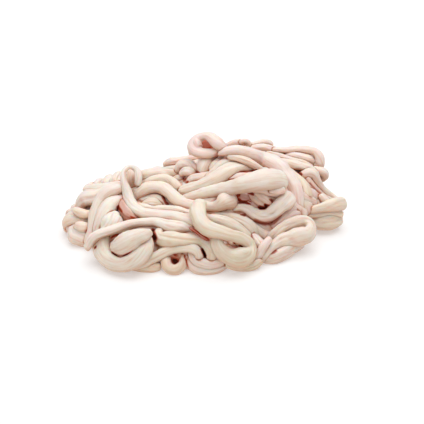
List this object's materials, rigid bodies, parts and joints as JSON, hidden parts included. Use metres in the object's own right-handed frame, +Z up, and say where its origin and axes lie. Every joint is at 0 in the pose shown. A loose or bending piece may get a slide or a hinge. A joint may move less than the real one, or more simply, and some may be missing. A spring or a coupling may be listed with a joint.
{
  "type": "pork small intestine heap",
  "caption": "Heap of washed pork small intestine: a pale pink, wet gut lying in tangled loops, folds and bands, as one solid with a flat underside.",
  "frame": {"origin": "middle of the heap's outline, on the surface it lies on", "axes": "+Z up; +X along the heap's long side, to the viewer's right; -Y towards the viewer, on the heap's low side"},
  "size_m": [0.3632, 0.2412, 0.1134],
  "materials": {
    "wet_gut": "wet, smooth, slightly translucent"
  },
  "bodies": {
    "root": {"small_intestine": "wet_gut"}
  },
  "joints": []
}
